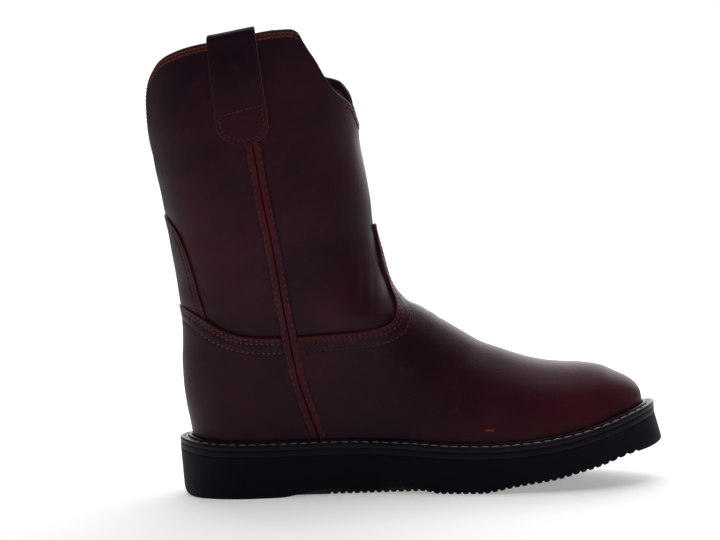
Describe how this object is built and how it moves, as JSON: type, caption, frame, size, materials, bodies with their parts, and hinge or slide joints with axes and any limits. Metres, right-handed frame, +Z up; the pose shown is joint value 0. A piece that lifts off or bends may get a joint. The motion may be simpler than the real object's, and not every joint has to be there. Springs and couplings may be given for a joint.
{
  "type": "roper boot",
  "caption": "Pull-on leather roper boot with a tall scalloped shaft, pull straps, round toe and a wedge sole with a ribbed tread.",
  "frame": {"origin": "centre of the boot's box seen from above, on the floor plane that the heel and the forefoot stand on", "axes": "+X to the toe, -Y to the inner side of the foot, +Y to the outer side, +Z up"},
  "size_m": [0.3224, 0.1154, 0.3014],
  "materials": {
    "upper_leather": "waxed pull-up leather, low sheen",
    "vamp_leather": "waxed pull-up leather, low sheen",
    "counter_leather": "waxed pull-up leather, low sheen",
    "seam_leather": "rubbed leather, low sheen",
    "strap_leather": "waxed leather, low sheen",
    "insole_leather": "matte",
    "welt_rubber": "satin",
    "midsole_rubber": "satin",
    "outsole_rubber": "matte"
  },
  "bodies": {
    "root": {"upper": "upper_leather", "vamp": "vamp_leather", "counter": "counter_leather", "back_stay": "counter_leather", "side_seam_inner": "seam_leather", "side_seam_outer": "seam_leather", "pull_strap_inner": "strap_leather", "pull_strap_outer": "strap_leather", "insole": "insole_leather", "welt": "welt_rubber", "midsole": "midsole_rubber", "outsole": "outsole_rubber"}
  },
  "joints": []
}
